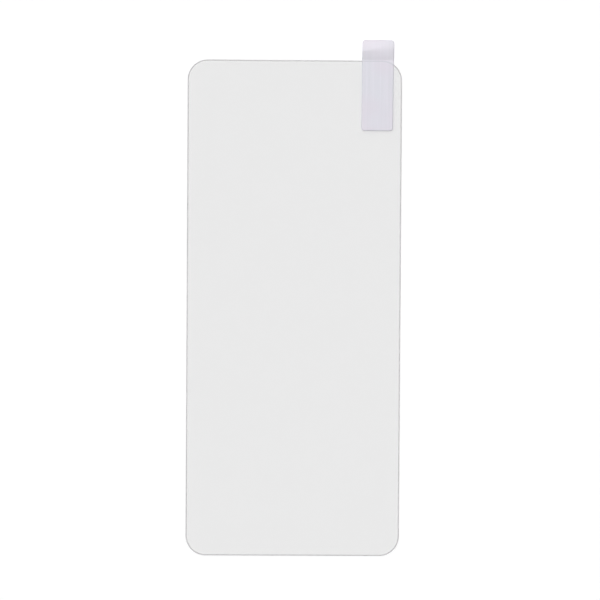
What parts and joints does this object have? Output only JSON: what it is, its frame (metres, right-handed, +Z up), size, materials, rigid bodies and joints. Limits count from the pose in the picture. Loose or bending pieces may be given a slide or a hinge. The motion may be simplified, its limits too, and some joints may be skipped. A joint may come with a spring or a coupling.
{
  "type": "phone screen protector",
  "caption": "Thin clear tempered glass sheet with rounded corners that sticks over a phone's screen, with an adhesive back, a release liner and a film pull tab near a corner.",
  "frame": {"origin": "centre of the glass's outer face, which lies down", "axes": "+X across the pane towards the side with the tab, +Y along the pane towards the end with the tab, +Z up through the layers"},
  "size_m": [0.066, 0.1592, 0.0022],
  "materials": {
    "tempered_glass": "clear float glass, polished face and edges",
    "silicone_adhesive": "clear and glossy",
    "polyester_liner": "clear and glossy",
    "milky_film": "milky translucent film, satin"
  },
  "bodies": {
    "root": {"tempered_glass": "tempered_glass", "adhesive_film": "silicone_adhesive", "release_liner": "polyester_liner", "pull_tab": "milky_film"}
  },
  "joints": []
}
